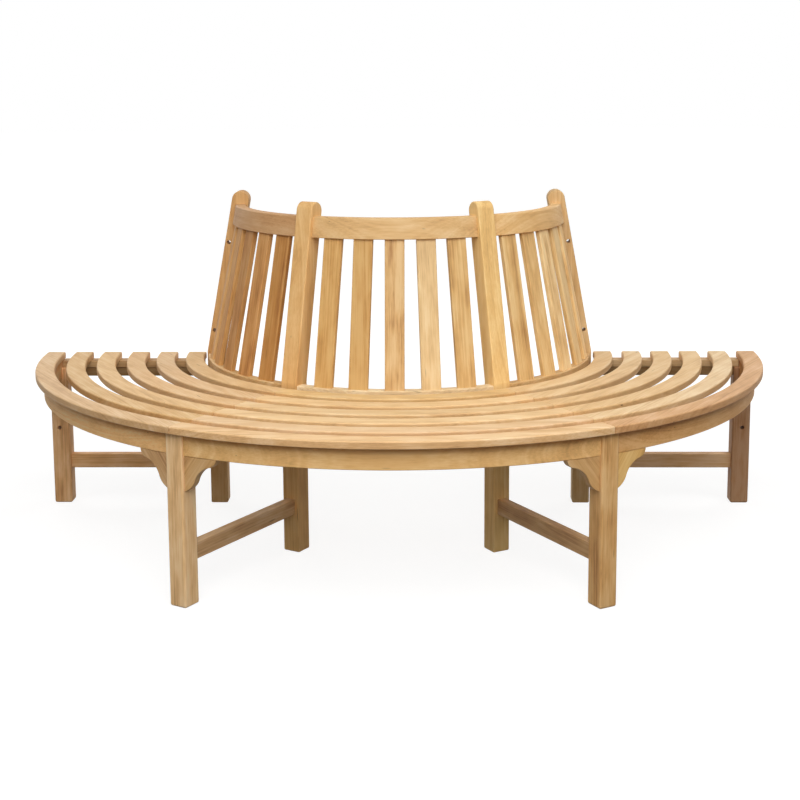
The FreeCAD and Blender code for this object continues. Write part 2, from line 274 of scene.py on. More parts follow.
def frame_middle(number, width):
    """Middle of a frame in s: on its radial plane, or wholly on the seat's side at the ends."""
    if not is_end(number):
        return 0.0
    return width / 2 if number == FRAMES[0] else -width / 2


def outward(angle):
    """Unit vector away from the tree axis, for one angle or an array of them."""
    return np.stack([np.cos(angle), np.sin(angle), np.zeros_like(angle)], -1)


def sideways(angle):
    """Unit vector along the tangent, for one angle or an array of them."""
    return np.stack([-np.sin(angle), np.cos(angle), np.zeros_like(angle)], -1)


def upright_axes(number):
    """Axes of a piece whose side view, in r and z, is carried across a frame, along s."""
    angle = frame_angle(number)
    return TREE_AXIS, outward(angle), UP, sideways(angle)


def crosswise_axes(number):
    """Axes of a piece whose end view, in s and z, is carried along a frame, along r."""
    angle = frame_angle(number)
    return TREE_AXIS, sideways(angle), UP, outward(angle)


def post_face_at(sizes, z):
    """Radius of a post's outward face: upright, then raked to the tree."""
    return sizes.post_face - max(0.0, z - sizes.rake_start) * math.tan(sizes.back.rake)


def top_rail_outer(sizes, z):
    return post_face_at(sizes, z) - sizes.back.top_rail_setback


def low_rail_outer(sizes):
    return sizes.post_face - sizes.back.low_rail_setback


def side_gaps(sizes, sector):
    """Distances of a rail's two ends from the radial planes of its frames, a hair into them."""
    width = sizes.under.leg_width
    return [frame_middle(sector, width) + width / 2 - SEATED,
            -frame_middle(sector + 1, width) + width / 2 - SEATED]


# Sections and ends

def rectangle(left, low, right, high):
    """Corners of an upright rectangle, anticlockwise."""
    return [(left, low), (right, low), (right, high), (left, high)]


def rounded(corners, radii, inset, steps=CORNER_STEPS):
    """Outline with its corners replaced by arcs, drawn in by each of the insets.

    corners run anticlockwise. A corner of radius c drawn in by d gets an arc of radius c - d, or
    c + d where the outline turns inwards, about a centre on the mitre line of its two sides. A
    corner of radius 0 stays one point. Returns points and outward normals by inset and point,
    and the number of the corner that each point belongs to.
    """
    corners = np.asarray(corners, float)
    radii = np.broadcast_to(np.asarray(radii, float), len(corners))
    side = np.roll(corners, -1, 0) - corners
    side /= np.linalg.norm(side, axis=1, keepdims=True)
    after = np.stack([side[:, 1], -side[:, 0]], 1)
    before = np.roll(after, 1, 0)
    cosine = (before * after).sum(1)
    mitre = (before + after) / (1 + cosine)[:, None]
    turn = np.arctan2(before[:, 0] * after[:, 1] - before[:, 1] * after[:, 0], cosine)
    counts = np.where(radii > 0, steps + 1, 1)
    owner = np.repeat(np.arange(len(corners)), counts)
    place = np.arange(len(owner)) - np.repeat(np.cumsum(counts) - counts, counts)
    part = np.where(counts[owner] > 1, place / steps, 0.5)
    angle = np.arctan2(before[:, 1], before[:, 0])[owner] + turn[owner] * part
    normals = np.stack([np.cos(angle), np.sin(angle)], 1)
    bulge = np.where(radii > 0, np.sign(turn), 0.0)
    inset = np.asarray(inset, float)[:, None]
    radius = np.maximum(radii - bulge * inset, SMALLEST_RADIUS)
    centre = corners - mitre * inset[..., None] - (bulge * radius)[..., None] * mitre
    points = centre[:, owner] + (bulge * radius)[:, owner, None] * normals
    return points, np.broadcast_to(normals, points.shape), owner


def rounded_ends(ease, between=0):
    """Stations of a board whose two ends draw in along quarter circles.

    At angle p from the side, the distance from the end is ease (1 - sin p), the inset of the
    section ease (1 - cos p), and the normal leans out of the section by sin p. Returns the
    distances from an end, inwards, and by station the insets and the leans. The leans are
    negative at the first end, and both are 0 at the stations between the ends.
    """
    turn = np.linspace(math.pi / 2, 0, END_STEPS + 1)
    inset, lean, flat = ease * (1 - np.cos(turn)), np.sin(turn), np.zeros(between)
    return (ease * (1 - np.sin(turn)), np.concatenate([inset, flat, inset[::-1]]),
            np.concatenate([-lean, flat, lean[::-1]])[:, None, None])


def bowed(start, end, rise):
    """Points on the arc from start up to, but not including, end, whose middle rises by rise.

    With half chord c, the arc has radius (c c + rise rise) / (2 rise) and half angle
    2 atan(rise / c).
    """
    start, end = np.asarray(start, float), np.asarray(end, float)
    half = np.linalg.norm(end - start) / 2
    along = (end - start) / (2 * half)
    out = np.array([along[1], -along[0]])
    radius = (half ** 2 + rise ** 2) / (2 * rise)
    angle = np.linspace(-1, 1, BOW_STEPS + 1)[:-1, None] * 2 * math.atan(rise / half)
    middle = (start + end) / 2 + out * (rise - radius)
    return middle + radius * (np.sin(angle) * along + np.cos(angle) * out)


# Looks of the boards, painted light and shade included

# How light, how pale, how red and how figured the boards came out, by the start of their names.
# Each board's tone is partly its wood's own and partly painted light and shade: the seat slats
# paler for a painted sheen on their tops, the aprons lighter against the shade under the seat, the
# battens and bearers darker as painted shade, and single boards lighter where more light falls on
# them and darker where less.
BOARD_TONES_AND_PAINTED_LIGHT = {
    # Seat slats paler, partly a painted sheen on their tops
    "seat_slat": (0.0, 2.5, 0.0, 0.5),
    "seat_slat_1_1": (0.0, 2.0, 0.0, 0.5), "seat_slat_1_2": (0.5, 1.5, -0.5, 0.5),
    "seat_slat_2_1": (-0.5, 2.5, 0.5, 0.5),
    "seat_slat_3_1": (-0.5, 2.0, 0.5, 0.5),
    "seat_slat_4_1": (0.0, 2.0, 0.0, 0.6), "seat_slat_4_2": (0.5, 3.0, 0.0, 0.5),
    "seat_slat_5_1": (-1.0, 1.0, 0.0, 0.7), "seat_slat_5_2": (-0.5, 3.0, 0.5, 0.5),
    "seat_slat_5_3": (0.0, 3.0, 0.0, 0.6),
    "seat_slat_6_1": (-1.5, 2.5, 0.5, 0.7), "seat_slat_6_2": (-0.5, 2.5, 0.5, 0.8),
    "seat_slat_6_3": (-2.0, 1.0, 1.5, 0.7),
    # Aprons lighter, partly painted light in the shade under the seat
    "apron": (2.0, 0.0, 0.0, 0.6),
    "apron_board_1": (3.0, 0.5, 0.5, 0.6), "apron_board_3": (0.5, -1.5, 1.0, 0.8),
    "bracket": (-1.5, 0.0, 0.5, 0.8),
    "bracket_plate_2_1": (-2.0, 1.5, 1.0, 1.0), "bracket_plate_3_2": (2.5, -1.5, -1.0, 0.8),
    # Battens and bearers darker, painted shade under the seat
    "batten": (-3.5, 1.0, 0.5, 1.0),
    "seat_bearer": (-9.0, -1.0, 0.5, 1.0),
    "stretcher": (-2.5, 1.5, 1.0, 1.0),
    "stretcher_bar_1": (0.5, 0.0, 1.5, 1.0), "stretcher_bar_4": (-1.5, 1.5, 1.5, 1.0),
    "front_leg": (0.5, 1.0, 1.5, 1.2), "front_leg_stock_2": (1.0, 2.0, 0.5, 1.0),
    "front_leg_stock_3": (0.0, -0.5, 0.5, 1.2), "front_leg_stock_4": (-7.0, 0.5, 3.0, 1.4),
    "back_post": (0.5, -0.5, 0.0, 0.6), "back_post_stock_1": (-0.5, -0.5, 0.5, 0.8),
    "back_post_stock_3": (1.0, 0.0, -1.0, 0.6), "back_post_stock_4": (-1.5, 1.0, 0.0, 0.8),
    "top_rail": (-1.0, 1.0, 0.0, 0.6),
    "top_rail_board_1": (-3.5, 0.5, 1.5, 0.6), "top_rail_board_3": (0.5, 0.5, 0.0, 0.6),
    "low_rail": (-1.0, 0.5, 0.0, 1.0), "low_rail_board_2": (0.0, 4.0, -0.5, 0.8),
    # Back slats: the left sector darker and the right lighter, partly painted shade and light
    "back_slat": (0.0, 0.0, 0.0, 1.0),
    "back_slat_board_1": (-1.5, -2.5, 0.5, 1.0), "back_slat_board_1_1": (-1.0, -1.0, 0.5, 1.0),
    "back_slat_board_1_3": (-3.5, -3.0, 1.0, 1.0), "back_slat_board_1_4": (-2.0, -2.5, 1.0, 1.0),
    "back_slat_board_1_5": (-2.5, -4.0, 0.5, 1.0),
    "back_slat_board_2_1": (-1.0, -2.0, -0.5, 1.0), "back_slat_board_2_2": (-2.0, -2.5, -0.5, 1.0),
    "back_slat_board_2_3": (-1.5, 0.5, 0.0, 1.4), "back_slat_board_2_4": (-0.5, 2.5, -0.5, 0.8),
    "back_slat_board_2_5": (-1.0, 0.0, -0.5, 1.0),
    "back_slat_board_3": (0.5, 0.5, -0.5, 1.0), "back_slat_board_3_3": (1.5, 1.5, -0.5, 1.2),
    "back_slat_board_3_5": (2.5, 1.0, -0.5, 1.0),
}

# One step lighter, paler or redder, as powers of e that a board's red, green and blue are
# multiplied by. Paler teak has most of its blue back.
LIGHTER = np.array([0.10, 0.10, 0.10])
PALER = np.array([0.04, 0.09, 0.19])
REDDER = np.array([0.03, -0.04, -0.02])
# Powers of the painted shade that red, green and blue are multiplied by. The painted shade is
# warm, so its red falls slower than its blue.
SHADE_POWERS = (0.6, 1.1, 1.7)

# Spread by chance of how light and how pale a board is, in steps
LIGHT_SPREAD = 0.2
PALE_SPREAD = 0.15
# Height of the trunk, nearest and furthest distance of a board from the pith, and how far it
# drifts away from the pith's line for each metre of its length
TRUNK_HEIGHT = 8.0
PITH_DISTANCES = (0.05, 0.16)
DRIFT = 0.012


def board_look(name):
    """Colour and figure of one board: what BOARD_TONES_AND_PAINTED_LIGHT says, painted light and shade
    included, and small differences by chance.
    """
    starts = [start for start in BOARD_TONES_AND_PAINTED_LIGHT if name.startswith(start)]
    light, pale, red, figure = BOARD_TONES_AND_PAINTED_LIGHT[max(starts, key=len)]
    chance = np.random.default_rng([ord(letter) for letter in name])
    light += chance.normal(0, LIGHT_SPREAD)
    pale += chance.normal(0, PALE_SPREAD)
    tint = np.exp(light * LIGHTER + pale * PALER + red * REDDER)
    return SimpleNamespace(
        tint=(*tint, figure), start=chance.uniform(0, TRUNK_HEIGHT),
        pith=chance.uniform(*PITH_DISTANCES), pith_angle=chance.uniform(0, 2 * math.pi),
        drift=chance.normal(0, DRIFT, 2))


def grain_at(points, look, middle, along, across):
    """Place of each point in the tree: distance up the trunk, and the two away from its pith.

    middle is the middle of the board, along its direction up the trunk, and across roughly one
    of the two others. The board lies at its own distance from the pith, and drifts a little to
    one side along its length, so its rings run out in long points.
    """
    along = along / np.linalg.norm(along)
    across = across - along * np.dot(along, across)
    across = across / np.linalg.norm(across)
    third = np.cross(along, across)
    offset = points - middle
    up_trunk = offset @ along
    first = offset @ across + look.pith * math.cos(look.pith_angle) + look.drift[0] * up_trunk
    second = offset @ third + look.pith * math.sin(look.pith_angle) + look.drift[1] * up_trunk
    return np.stack([up_trunk + look.start, first, second], -1)


# Meshes of the boards

def skin(stations, count):
    """Quads between neighbouring stations of a closed loop, as an array of point numbers."""
    number = np.arange(stations * count).reshape(stations, count)
    ahead = np.roll(number, -1, 1)
    return np.stack([number[:-1], ahead[:-1], ahead[1:], number[1:]], -1).reshape(-1, 4)


def end_faces(loop, holes):
    """Splits an end face, an anticlockwise loop of point numbers, into strips at its holes.

    holes go upwards. Each is the places in the loop of the points level with it, on the right
    and on the left, and the numbers of its rim, anticlockwise from the right.
    """
    if not holes:
        return [loop]
    strips = []
    for below, above in zip([None, *holes], [*holes, None]):
        if above is None:
            strip = loop[below[0]:below[1] + 1]
        elif below is None:
            strip = loop[above[1]:] + loop[:above[0] + 1]
        else:
            strip = loop[below[0]:above[0] + 1]
        if above is not None:
            rim = above[2]
            strip += rim[:1] + rim[:len(rim) // 2 - 1:-1]
            if below is not None:
                strip += loop[above[1]:below[1] + 1]
        if below is not None:
            rim = below[2]
            strip += rim[len(rim) // 2::-1]
        strips.append(strip)
    return strips


def closed_board(points, normals, walls):
    """Points, normals and faces of a board's skin, of the walls of its holes and of its two ends.

    walls are the bolt holes: each has its rings of points and normals, and the places in the
    section's loop of the points level with it.
    """
    stations, count = points.shape[:2]
    faces = skin(stations, count).tolist()
    start = stations * count
    first, last = list(range(count)), list(range(start - count, start))
    all_points, all_normals = [points.reshape(-1, 3)], [normals.reshape(-1, 3)]
    near_holes, far_holes = [], []
    for rings, ring_normals, level in walls:
        depths, around = rings.shape[:2]
        end = start + depths * around
        faces += (skin(depths, around)[:, ::-1] + start).tolist()
        near_holes.append((*level, list(range(start, start + around))))
        far_holes.append((*level, list(range(end - around, end))))
        all_points.append(rings.reshape(-1, 3))
        all_normals.append(ring_normals.reshape(-1, 3))
        start = end
    faces += [strip[::-1] for strip in end_faces(first, near_holes)]
    faces += end_faces(last, far_holes)

    # A section that runs clockwise along its line has all its faces turned outwards.
    next_point, next_station = np.roll(points, -1, 1) - points, np.diff(points, axis=0)
    if (np.cross(next_point[:-1], next_station) * normals[:-1]).sum() < 0:
        faces = [face[::-1] for face in faces]
    return np.concatenate(all_points), np.concatenate(all_normals), faces


def add_board(context, name, node, points, normals, grain, walls=(), painted_shades=1.0):
    """Makes the mesh of a board from its stations, closes its ends and hangs it on the frame.

    node is the CAD node that the board stands for, alone or with others. grain is the board's
    middle and its directions along and across the trunk. painted_shades says by station and point
    how much painted shade darkens the wood there, beside the board's own tint.
    """
    look = board_look(name)
    painted_shades = np.broadcast_to(painted_shades, points.shape[:2]).reshape(-1, 1)
    points, normals, faces = closed_board(points, normals, walls)
    places = grain_at(points, look, *grain)
    tints = np.tile(look.tint, (len(points), 1))
    # The painted shade darkens the points of the board's skin, beside the board's tint
    tints[:len(painted_shades), :3] *= painted_shades ** SHADE_POWERS
    mesh = bpy.data.meshes.new(name)
    mesh.from_pydata(points, [], faces)
    mesh.attributes.new("grain", "FLOAT_VECTOR", "POINT").data.foreach_set(
        "vector", places.astype(np.float32).ravel())
    mesh.attributes.new("board", "FLOAT_COLOR", "POINT").data.foreach_set(
        "color", tints.astype(np.float32).ravel())
    mesh.shade_smooth()
    mesh.normals_split_custom_set_from_vertices(normals)
    mesh.materials.append(oiled_teak(context))
    piece = bpy.data.objects.new(name, mesh)
    context.scene.collection.objects.link(piece)
    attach(piece, "root")
    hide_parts(node)


def hole_wall(axes, reach, u, v, radius):
    """Rings of points and normals of a bolt hole's wall, a circle about (u, v) carried along the
    line. Its rims widen by as much as they are deep, and their normals lie along the line."""
    origin, first, second, line = axes
    angle = np.linspace(0, 2 * math.pi, HOLE_POINTS, endpoint=False)[:, None]
    circle = np.cos(angle) * first + np.sin(angle) * second
    w = np.array([reach[0], reach[0] + HOLE_RIM, reach[1] - HOLE_RIM, reach[1]])[:, None, None]
    wider = np.array([HOLE_RIM, 0, 0, HOLE_RIM])[:, None, None]
    lean = np.array([-1, 0, 0, 1])[:, None, None]
    points = origin + u * first + v * second + circle * (radius + wider) + w * line
    return points, -circle * (1 - abs(lean)) + lean * line


def straight_board(context, name, node, axes, corners, radii, reach, ease,
                   trunk=None, steps=CORNER_STEPS, holes=()):
    """Section carried along a straight line.

    axes are the origin and the unit vectors of the section's two directions and of the line. A
    point is origin + u first + v second + w line, with (u, v) on the rounded section and w along
    the line; near its ends the section draws in along a quarter circle. trunk is the directions
    along and across the trunk, if they aren't those of the line and of u. holes are (u, v,
    radius) of bolt holes along the line, with two corners of radius 0 level with each.
    """
    origin, first, second, line = axes
    from_end, inset, lean = rounded_ends(ease)
    section, section_normals, owner = rounded(corners, radii, inset, steps)

    def placed(uv, w):
        return origin + uv[..., :1] * first + uv[..., 1:] * second + w * line

    w = np.concatenate([reach[0] + from_end, (reach[1] - from_end)[::-1]])
    points = placed(section, w[:, None, None])
    flat = section_normals[..., :1] * first + section_normals[..., 1:] * second
    normals = flat * np.sqrt(1 - lean ** 2) + lean * line
    walls = []
    for u, v, radius in holes:
        level = [np.flatnonzero(owner == k)[0] for k, corner in enumerate(corners)
                 if abs(corner[1] - v) < SMALLEST_RADIUS]
        walls.append((*hole_wall(axes, reach, u, v, radius), level))
    middle = placed(np.mean(corners, 0), (reach[0] + reach[1]) / 2)
    add_board(context, name, node, points, normals, (middle, *(trunk or (line, first))), walls)


def ring_board(context, name, node, sector, corners, radii, gaps, ease, painted_shade_at=None):
    """Section in r and z carried round the tree, from one frame to the next.

    A point at radius r starts at the frame's angle + asin(gap / r), so the end is flat and
    parallel to the frame, and in between the angle goes evenly to that of the other end. The
    board is sawn from straight stock, so its grain runs along the chord of the sector.
    painted_shade_at gives the painted shade on the wood from the section's points and normals.
    """
    near, far, halfway = (frame_angle(sector + part) for part in (0, 1, 0.5))
    from_end, inset, lean = rounded_ends(ease, RING_STATIONS)
    section, section_normals, _ = rounded(corners, radii, inset)
    r, z = section[..., 0], section[..., 1]
    start = near + np.arcsin((gaps[0] + from_end)[:, None] / r[:len(from_end)])
    end = far - np.arcsin((gaps[1] + from_end)[::-1, None] / r[-len(from_end):])
    between = np.linspace(0, 1, RING_STATIONS + 2)[1:-1, None]
    angle = np.concatenate([start, start[-1] + (end[0] - start[-1]) * between, end])
    points = TREE_AXIS + r[..., None] * outward(angle) + z[..., None] * UP
    flat = section_normals[..., :1] * outward(angle) + section_normals[..., 1:] * UP
    normals = flat * np.sqrt(1 - lean ** 2) + lean * np.where(lean < 0, sideways(near), sideways(far))
    radius, height = np.mean(corners, 0)
    middle = TREE_AXIS + radius * outward(halfway) + height * UP
    add_board(context, name, node, points, normals, (middle, sideways(halfway), outward(halfway)),
              painted_shades=painted_shade_at(section, section_normals) if painted_shade_at else 1.0)


def upright_board(context, sizes, kind, number, corners, radii, ease, holes, steps=CORNER_STEPS):
    """Leg or post: its side view carried across its frame, with the grain upwards."""
    width = sizes.under.leg_width
    middle = frame_middle(number, width)
    straight_board(context, f"{kind}_stock_{number + 1}", f"{kind}_{number + 1}", upright_axes(number),
                   corners, radii, (middle - width / 2, middle + width / 2), ease,
                   trunk=(UP, outward(frame_angle(number))), steps=steps, holes=holes)


def bracket(context, sizes, number, end):
    """One flat ogee bracket, its face turned to follow the apron and its side on the leg.

    Its side view, in reach and height, is carried through its thickness. The reach is then
    counted from the leg's side to the tip, so that the near edge lies flat on the leg. end says
    on which side of the leg it is: 0 on the side of the frame before, 1 on that of the next.
    """
    seat, half_leg = sizes.seat, sizes.under.leg_width / 2
    side = 2 * end - 1
    outer = sizes.apron_face - seat.bracket_behind_apron
    reach = seat.bracket_reach
    foot, tip = (0.0, -seat.bracket_drop), (reach, 0.0)
    toe_start = (seat.bracket_toe_start_reach, -seat.bracket_toe_start_drop)
    nose_end = (seat.bracket_nose_end_reach, -seat.bracket_nose_end_drop)
    toe = bowed(foot, toe_start, seat.bracket_toe_bulge)
    hollow = bowed(toe_start, nose_end, -seat.bracket_hollow_depth)
    nose = bowed(nose_end, tip, seat.bracket_nose_bulge)
    corners = np.concatenate([toe, hollow, nose, [tip, (0.0, 0.0)]])
    radii = np.zeros(len(corners))
    radii[[len(toe), len(toe) + len(hollow)]] = seat.bracket_corner
    radii[[0, -2, -1]] = (seat.bracket_tip, seat.bracket_tip, SMALLEST_RADIUS)
    from_face, inset, lean = rounded_ends(seat.bracket_edge)
    depth = np.concatenate([outer - from_face, (outer - seat.bracket_thickness + from_face)[::-1]])
    section, section_normals, _ = rounded(corners, radii, inset)
    turned = math.atan((half_leg + reach / 2) / outer)
    angle = frame_angle(number) + side * turned
    on_leg = ((half_leg - depth * math.sin(turned)) / math.cos(turned))[:, None]
    s = side * (on_leg + (reach / 2 - on_leg) * section[..., 0] / reach)
    z = sizes.apron_underside + section[..., 1]
    out, across = outward(angle), sideways(angle)
    points = TREE_AXIS + depth[:, None, None] * out + s[..., None] * across + z[..., None] * UP
    flat = section_normals[..., :1] * side * across + section_normals[..., 1:] * UP
    normals = flat * np.sqrt(1 - lean ** 2) - lean * out
    # The grain runs from the toe to the nose, up by 4 for every 3 along the apron.
    grain = points.reshape(-1, 3).mean(0), side * across * 0.6 + UP * 0.8, out
    add_board(context, f"bracket_plate_{number + 1}_{end + 1}", f"bracket_{number + 1}_{end + 1}",
              points, normals, grain)


# Materials

def add_node(tree, kind, inputs=None, **settings):
    """Adds a node with its settings. Each input gets a value, a socket, or a node's first output."""
    node = tree.nodes.new("ShaderNode" + kind)
    for name, value in settings.items():
        setattr(node, name, value)
    for name, value in (inputs or {}).items():
        if isinstance(value, bpy.types.Node):
            value = value.outputs[0]
        if isinstance(value, bpy.types.NodeSocket):
            tree.links.new(value, node.inputs[name])
        else:
            node.inputs[name].default_value = value
    return node


def empty_material(name):
    material = bpy.data.materials.new(name)
    material.use_nodes = True
    material.node_tree.nodes.clear()
    return material, material.node_tree


def background_ray(tree):
    """1 for rays that show the background: from the camera, off gloss and through glass."""
    path = add_node(tree, "LightPath")
    seen = path.outputs["Is Camera Ray"]
    for kind in ("Is Glossy Ray", "Is Transmission Ray"):
        seen = add_node(tree, "Math", {0: seen, 1: path.outputs[kind]}, operation="MAXIMUM")
    return seen


def oiled_teak(context):
    """Teak, planed, sanded and lightly oiled.

    It gives the eye golden boards of slightly different tone, soft rings that run out in long
    points where a curve leaves the grain, broad brown bands, and now and then a dark streak.
    """
    material = bpy.data.materials.get("teak_sanded_oiled")
    if material:
        return material
    wood = context.scene.tree_bench_wood
    material, tree = empty_material("teak_sanded_oiled")
    place = add_node(tree, "Attribute", attribute_name="grain").outputs["Vector"]
    board = add_node(tree, "Attribute", attribute_name="board")

    def mottling(cells_per_metre, **inputs):
        """Soft spots, as many to the metre as is said, up the trunk and in both directions across."""
        where = add_node(tree, "VectorMath", {0: place, 1: cells_per_metre}, operation="MULTIPLY")
        return add_node(tree, "TexNoise", {"Vector": where, "Scale": 1.0, **inputs})

    # The pith wanders by up to 16 mm, in bends 170 mm wide and 600 mm long.
    wander = mottling((1.6, 6.0, 6.0), Detail=1.0).outputs["Color"]
    wandered = add_node(tree, "VectorMath", {0: wander, 1: (0.0, 0.016, 0.016), 2: place},
                        operation="MULTIPLY_ADD")
    section = add_node(tree, "VectorMath", {0: wandered, 1: (0.0, 1.0, 1.0)}, operation="MULTIPLY")
    from_pith = add_node(tree, "VectorMath", {0: section}, operation="LENGTH").outputs["Value"]
    up_trunk = add_node(tree, "SeparateXYZ", {0: place}).outputs["X"]

    def ring_noise(spacing, length, detail):
        """Pattern that follows the distance from the pith and hardly changes up the trunk."""
        across = add_node(tree, "Math", {0: from_pith, 1: 1 / spacing}, operation="MULTIPLY")
        along = add_node(tree, "Math", {0: up_trunk, 1: 1 / length}, operation="MULTIPLY")
        where = add_node(tree, "CombineXYZ", {"X": across, "Y": along})
        return add_node(tree, "TexNoise", {"Vector": where, "Scale": 1.0, "Detail": detail},
                        noise_dimensions="2D")

    # Rings and bands keep their tone for about a metre up the trunk. Clouds are 33 mm wide and
    # 110 mm long. Pores are a third of a millimetre wide; they are drawn 3 mm wide, or they
    # wouldn't show.
    rings = ring_noise(wood.ring_spacing, 0.9, 2.0)
    bands = ring_noise(wood.band_spacing, 1.3, 1.0)
    clouds = mottling((9.0, 30.0, 30.0), Detail=3.0)
    fibres = mottling((9.0, 300.0, 300.0), Detail=3.0, Roughness=0.65)

    # Each of the four patterns is taken about its middle, weighed and added up. The board's own
    # figure makes the sum stronger or weaker about a tone between pale and golden.
    depth = 0.0
    for pattern, weight in ((rings, 0.6), (bands, 0.6), (clouds, 1.1), (fibres, 0.8)):
        shifted = add_node(tree, "Math", {0: pattern, 1: 0.5}, operation="SUBTRACT")
        depth = add_node(tree, "Math", {0: shifted, 1: weight, 2: depth}, operation="MULTIPLY_ADD")
    figured = add_node(tree, "Math", {0: depth, 1: board.outputs["Alpha"], 2: 0.45},
                       operation="MULTIPLY_ADD")
    heartwood = add_node(tree, "ValToRGB", {"Fac": figured})
    stops = heartwood.color_ramp.elements
    stops[0].position, stops[0].color = 0.2, (*wood.pale, 1)
    stops[1].position, stops[1].color = 0.95, (*wood.brown, 1)
    stops.new(0.5).color = (*wood.golden, 1)

    # Mineral streaks are 7 mm wide and 90 mm long, and only the peaks of their pattern show.
    streak_share = add_node(tree, "MapRange", {"Value": mottling((11.0, 150.0, 150.0), Detail=1.0),
                                               "From Min": 0.76, "From Max": 0.84, "To Max": 0.75})
    streaked = add_node(tree, "Mix", {0: streak_share, 6: heartwood, 7: (*wood.streak, 1)},
                        data_type="RGBA")
    # The board's colour brings its tone, painted light and shade included, and the painted shade of slat
    # sides and apron tops
    tinted = add_node(tree, "Mix", {0: 1.0, 6: streaked.outputs[2], 7: board.outputs["Color"]},
                      data_type="RGBA", blend_type="MULTIPLY")

    # The fibres make the wood rougher or smoother by 0.06, and stand up with the late wood.
    rough = add_node(tree, "Math", {0: fibres, 1: 0.12, 2: wood.roughness - 0.06},
                     operation="MULTIPLY_ADD")
    height = add_node(tree, "Math", {0: rings, 1: 0.6, 2: fibres}, operation="MULTIPLY_ADD")
    bump = add_node(tree, "Bump", {"Height": height, "Strength": 0.35, "Distance": 0.0004})
    shader = add_node(tree, "BsdfPrincipled", {
        "Base Color": tinted.outputs[2], "Roughness": rough, "Normal": bump,
        "IOR": 1.5, "Specular IOR Level": 0.4})
    add_node(tree, "OutputMaterial", {"Surface": shader})
    return material


def studio_floor(context):
    """Matt white floor. The camera sees it as white, with the bench's soft shadow on it; the
    wood sees a duller floor, which leaves the underside of the bench dark."""
    material, tree = empty_material("floor_matt_white")
    shaded = [level * FLOOR_SHADED for level in context.scene.tree_bench_studio.floor]
    dull = add_node(tree, "BsdfDiffuse", {"Color": (FLOOR_DULL, FLOOR_DULL, FLOOR_DULL, 1)})
    matt = add_node(tree, "BsdfDiffuse", {"Color": (*shaded, 1)})
    # Past the bench's shadow the floor turns fully white, like the surroundings.
    where = add_node(tree, "TexCoord").outputs["Object"]
    distance = add_node(tree, "VectorMath", {0: where}, operation="LENGTH").outputs["Value"]
    strength = add_node(tree, "MapRange", {
        "Value": distance, "From Min": SHADOW_NEAR, "From Max": SHADOW_FAR, "To Min": FLOOR_GLOW})
    glow = add_node(tree, "Emission", {"Color": (1, 1, 1, 1), "Strength": strength})
    white = add_node(tree, "AddShader", {0: matt, 1: glow})
    shader = add_node(tree, "MixShader", {0: background_ray(tree), 1: dull, 2: white})
    add_node(tree, "OutputMaterial", {"Surface": shader})
    return material


# Stage

FLOOR_RADIUS = 30.0
FLOOR_POINTS = 96
# The grey that the wood sees, the part of the floor's colour that takes light and shadow, and
# the glow that it is added to, which grows to 1 from the near to the far edge of the shadow
FLOOR_DULL = 0.04
FLOOR_SHADED = 0.25
FLOOR_GLOW = 0.86
SHADOW_NEAR = 1.4
SHADOW_FAR = 3.2

# Place and width in metres, and power in watts
LAMPS = {
    "front_high": ((0.0, -2.6, 3.6), 3.0, 98.0),
    "front_low": ((0.0, -4.4, 2.2), 2.6, 56.0),
    "right": ((3.2, -2.2, 3.6), 3.0, 64.0),
    "left": ((-3.2, -2.2, 3.6), 3.0, 41.0),
    "behind_left": ((-3.0, 3.6, 2.8), 2.5, 54.0),
    "behind_right": ((3.0, 3.6, 2.8), 2.5, 54.0),
}
LAMP_TARGET = Vector((0.0, 0.0, 0.4))

# Strength of the white surroundings where they light the wood; where they are seen, it is 1
SURROUNDING_LIGHT = 0.02

# In metres, and in degrees: yaw from +Y to the right, pitch downwards and roll
CAMERA_PLACE = (0.0967, -3.8268, 1.3353)
CAMERA_TURNS = (-1.219, 8.700, -0.323)


def floor(context):
    """Flat disc under the bench, its points at even angles on one circle."""
    angle = np.linspace(0, 2 * math.pi, FLOOR_POINTS, endpoint=False)
    mesh = bpy.data.meshes.new("floor")
    mesh.from_pydata(outward(angle) * FLOOR_RADIUS, [], [list(range(FLOOR_POINTS))])
    mesh.materials.append(studio_floor(context))
    disc = bpy.data.objects.new("floor", mesh)
    context.scene.collection.objects.link(disc)


def lamps(context):
    """Soft square lamps: a high and a low one in front, one on each side and two behind."""
    for name, (place, width, power) in LAMPS.items():
        lamp = bpy.data.lights.new(name, "AREA")
        lamp.shape = "SQUARE"
        lamp.size = width
        lamp.energy = power * context.scene.tree_bench_studio.lamps
        holder = bpy.data.objects.new(name, lamp)
        holder.location = place
        holder.rotation_euler = (LAMP_TARGET - Vector(place)).to_track_quat("-Z", "Y").to_euler()
        context.scene.collection.objects.link(holder)


def surroundings(context):
    """White all round to the eye, which hardly lights the wood."""
    world = bpy.data.worlds.new("white_surroundings")
    world.use_nodes = True
    tree = world.node_tree
    tree.nodes.clear()
    light = SURROUNDING_LIGHT * context.scene.tree_bench_studio.surroundings
    strength = add_node(tree, "MapRange", {"Value": background_ray(tree), "To Min": light})
    sky = add_node(tree, "Background", {"Color": (1, 1, 1, 1), "Strength": strength})
    add_node(tree, "OutputWorld", {"Surface": sky})
    context.scene.world = world


